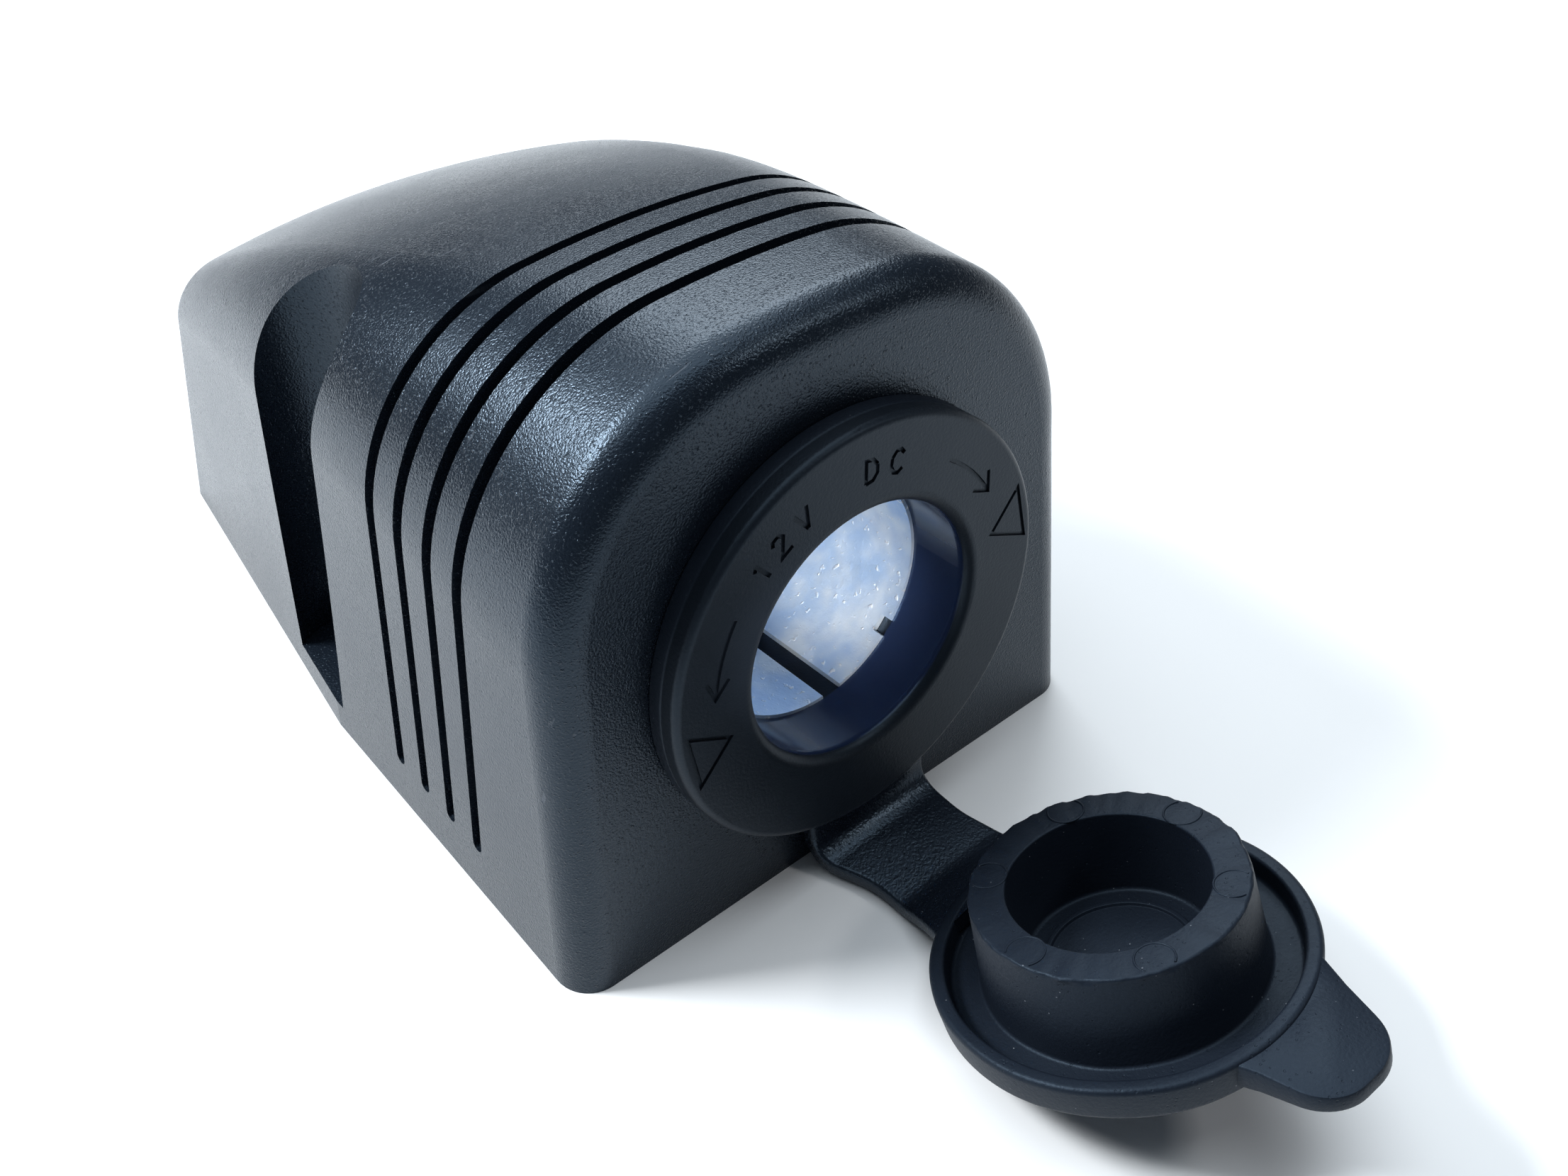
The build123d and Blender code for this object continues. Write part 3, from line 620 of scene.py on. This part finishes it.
def cap_piece():
    """The cap: a dished disc with a raised rim, a hollow plug in its middle and a finger tab."""
    outline = rounded([
        (0, 0, 0),
        (CAP_RADIUS - CAP_SLOPE, 0, 0.6),
        (CAP_RADIUS, CAP_RIM, 0.42),
        (RIM_INNER, CAP_RIM, 0.3),
        (CHANNEL_OUTER, CHANNEL_FLOOR, 0.35),
        (CHANNEL_INNER, CHANNEL_FLOOR, 0.3),
        (PLUG_RADIUS + 0.05, PLUG_TOP - 0.55, 0),
        (PLUG_RADIUS + 0.02, PLUG_TOP - 0.35, 0),
        (PLUG_RADIUS, PLUG_TOP, 0.24),
        (HOLLOW_TOP_RADIUS, PLUG_TOP, 0.16),
        (HOLLOW_RADIUS, HOLLOW_FLOOR, 0.35),
        (5.95, HOLLOW_FLOOR, 0.05),
        (5.85, SPRUE_TOP, 0.08),
        (5.5, SPRUE_TOP, 0.08),
        (5.4, HOLLOW_FLOOR, 0.05),
        (0, HOLLOW_FLOOR, 0),
    ], 6)
    edit = bmesh.new()
    turned(edit, outline, 200)
    skinned(edit, tab_layers())
    noise.seed_set(RUBBER_SEED)
    for vertex in edit.verts:
        vertex.co = roughened(vertex.co.copy())
    return finished("rubber_cap", edit, CAP @ IN_MM)


def geometry_tree(name, inputs):
    """An empty Geometry Nodes tree with these named inputs and one mesh output."""
    tree = bpy.data.node_groups.new(name, "GeometryNodeTree")
    for label, kind, value in inputs:
        socket = tree.interface.new_socket(name=label, in_out="INPUT", socket_type=kind)
        socket.default_value = value
    tree.interface.new_socket(name="Geometry", in_out="OUTPUT", socket_type="NodeSocketGeometry")
    return tree


MARKS_SUNK = 0.02               # the marks' lines lie this far below the plug's end, in millimetres
MARKS_TURN = math.radians(2)


def ejector_marks():
    """Six round marks on the plug's end: fine raised arcs, open towards the plug's rim."""
    sizes = [
        ("Count", "NodeSocketInt", 6),
        ("Circle Radius", "NodeSocketFloat", 9.0 * MM),
        ("Mark Radius", "NodeSocketFloat", 1.42 * MM),
        ("Line Radius", "NodeSocketFloat", 0.09 * MM),
        ("Gap", "NodeSocketFloat", math.radians(100)),
    ]
    tree = geometry_tree("ejector_marks", sizes)
    make, link = tree.nodes.new, tree.links.new
    given = make("NodeGroupInput")

    def worked(operation, first, second):
        node = make("ShaderNodeMath")
        node.operation = operation
        for socket, value in zip(node.inputs, (first, second)):
            if isinstance(value, bpy.types.NodeSocket):
                link(value, socket)
            else:
                socket.default_value = value
        return node.outputs[0]

    points = make("GeometryNodeMeshCircle")
    link(given.outputs["Count"], points.inputs["Vertices"])
    link(given.outputs["Circle Radius"], points.inputs["Radius"])
    mark = make("GeometryNodeCurveArc")
    mark.inputs["Resolution"].default_value = 36
    link(given.outputs["Mark Radius"], mark.inputs["Radius"])
    link(worked("DIVIDE", given.outputs["Gap"], 2.0), mark.inputs["Start Angle"])
    link(worked("SUBTRACT", 2 * math.pi, given.outputs["Gap"]), mark.inputs["Sweep Angle"])
    line = make("GeometryNodeCurvePrimitiveCircle")
    line.inputs["Resolution"].default_value = 8
    link(given.outputs["Line Radius"], line.inputs["Radius"])
    swept = make("GeometryNodeCurveToMesh")
    swept.inputs["Fill Caps"].default_value = True
    link(mark.outputs[0], swept.inputs["Curve"])
    link(line.outputs[0], swept.inputs["Profile Curve"])
    facing = make("ShaderNodeCombineXYZ")
    turn = worked("DIVIDE", 2 * math.pi, given.outputs["Count"])
    link(worked("MULTIPLY", make("GeometryNodeInputIndex").outputs[0], turn), facing.inputs["Z"])
    copies = make("GeometryNodeInstanceOnPoints")
    link(points.outputs["Mesh"], copies.inputs["Points"])
    link(swept.outputs["Mesh"], copies.inputs["Instance"])
    link(facing.outputs[0], copies.inputs["Rotation"])
    real = make("GeometryNodeRealizeInstances")
    link(copies.outputs["Instances"], real.inputs[0])
    painted = make("GeometryNodeSetMaterial")
    painted.inputs["Material"].default_value = FINISHES["cap_rubber"]
    link(real.outputs[0], painted.inputs[0])
    result = make("NodeGroupOutput")
    link(painted.outputs[0], result.inputs[0])
    raw = bpy.data.objects.new("ejector_marks_raw", bpy.data.meshes.new("ejector_marks_raw"))
    bpy.context.scene.collection.objects.link(raw)
    modifier = raw.modifiers.new("marks", "NODES")
    modifier.node_group = tree
    for item in tree.interface.items_tree:
        if item.in_out == "INPUT":
            modifier[item.identifier] = item.default_value
    bpy.context.view_layer.update()
    mesh = bpy.data.meshes.new_from_object(raw.evaluated_get(bpy.context.evaluated_depsgraph_get()))
    bpy.data.objects.remove(raw)
    edit = bmesh.new()
    edit.from_mesh(mesh)
    sunk = Matrix.Translation((0, 0, (PLUG_TOP - MARKS_SUNK) * MM))
    place = CAP @ sunk @ Matrix.Rotation(MARKS_TURN, 4, "Z")
    return finished("ejector_marks", edit, place, smooth_angle=80)


ring = ring_piece()
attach(ring, "housing")
(strap_bend, strap_middle), strap_end_loop = strap_pieces()
flare = strap_flare(strap_end_loop)
cap_object = cap_piece()
marks = ejector_marks()
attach(cap_object, "cap")
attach(marks, "cap")

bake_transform(strap_bend)
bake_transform(strap_middle)
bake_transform(flare)
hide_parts("tether_ring")
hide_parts("strap_link")
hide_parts("strap_end")
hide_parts("cap")


# ---------------------------------------------------------------- studio
def floor():
    finish = Finish("floor")
    tone = finish.noise(6, 3)
    colour = finish.mix(tone, (0.86, 0.86, 0.865, 1), (0.90, 0.90, 0.90, 1))
    material = finish.use(Base_Color=colour, Roughness=tone * 0.1 + 0.6)
    edit = bmesh.new()
    bmesh.ops.create_grid(edit, x_segments=1, y_segments=1, size=3)
    mesh = bpy.data.meshes.new("floor")
    edit.to_mesh(mesh)
    edit.free()
    mesh.materials.append(material)
    ground = bpy.data.objects.new("floor", mesh)
    ground.location.z = -0.00002
    bpy.context.scene.collection.objects.link(ground)


def softbox(name, at, aim, size, power, colour=(1, 1, 1)):
    """A rectangular soft light, size in metres and power in watts."""
    data = bpy.data.lights.new(name, "AREA")
    data.shape = "RECTANGLE"
    data.size, data.size_y = size
    data.energy = power
    data.color = colour
    light = bpy.data.objects.new(name, data)
    light.location = at
    light.rotation_euler = (Vector(aim) - Vector(at)).to_track_quat("-Z", "Y").to_euler()
    bpy.context.scene.collection.objects.link(light)


def snoot(name, at, aim, cone, power):
    """A narrow spotlight, with its cone in degrees."""
    data = bpy.data.lights.new(name, "SPOT")
    data.spot_size = math.radians(cone)
    data.spot_blend = 0.4
    data.shadow_soft_size = 0.003
    data.energy = power
    light = bpy.data.objects.new(name, data)
    light.location = at
    light.rotation_euler = (aim - at).to_track_quat("-Z", "Y").to_euler()
    bpy.context.scene.collection.objects.link(light)


def world(colour, strength):
    room = bpy.data.worlds.new("room")
    room.use_nodes = True
    background = room.node_tree.nodes["Background"]
    background.inputs["Color"].default_value = colour
    background.inputs["Strength"].default_value = strength
    bpy.context.scene.world = room


floor()
world((0.74, 0.86, 1.0, 1), 0.10)
softbox("overhead", (0.05, 0.16, 0.80), (0, 0, 0.02), (0.95, 0.85), 6.0, (0.86, 0.94, 1))
softbox("key", (-0.27, 0.23, 0.36), (0, 0, 0.02), (0.14, 0.12), 4.0, (0.93, 0.97, 1))
softbox("back", (0.30, 0.42, 0.44), (0, 0, 0.03), (0.42, 0.26), 2.4, (0.88, 0.95, 1))
softbox("front", (0.235, -0.28, 0.35), (0, -0.04, 0.02), (0.06, 0.06), 0.26)
snoot("mouth", SOCKET @ Vector((-0.24, 0.15, 0.30)), SOCKET @ Vector((0.001, -0.001, -0.002)), 2.1, 19.5)
bpy.context.scene.view_settings.view_transform = "Standard"
